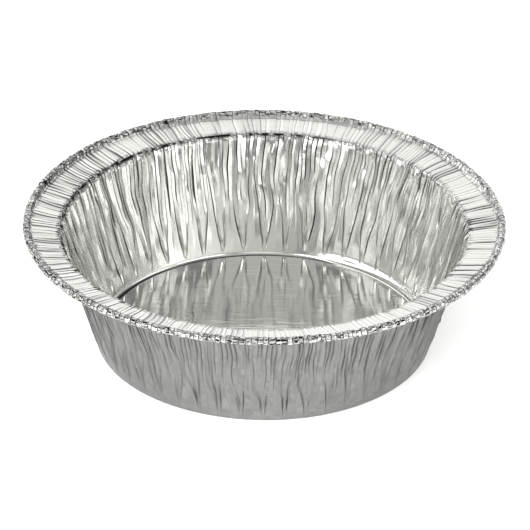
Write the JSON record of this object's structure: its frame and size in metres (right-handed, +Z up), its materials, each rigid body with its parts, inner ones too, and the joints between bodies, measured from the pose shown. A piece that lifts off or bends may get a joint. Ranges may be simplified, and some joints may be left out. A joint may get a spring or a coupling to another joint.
{
  "type": "foil tart pan",
  "caption": "Round foil pan with a flat floor, a sloping pleated wall, a crimped flange and a rolled bead round its rim; open at the top.",
  "frame": {"origin": "centre of the round base, on the surface that the pan rests on", "axes": "+Z up along the pan's axis, towards its open mouth; +X to the right of the picture; -Y towards the picture's camera"},
  "size_m": [0.127, 0.127, 0.0354],
  "materials": {
    "foil": "bright and crinkled on the food's side, satin on the outside"
  },
  "bodies": {
    "root": {"pan": "foil"}
  },
  "joints": []
}
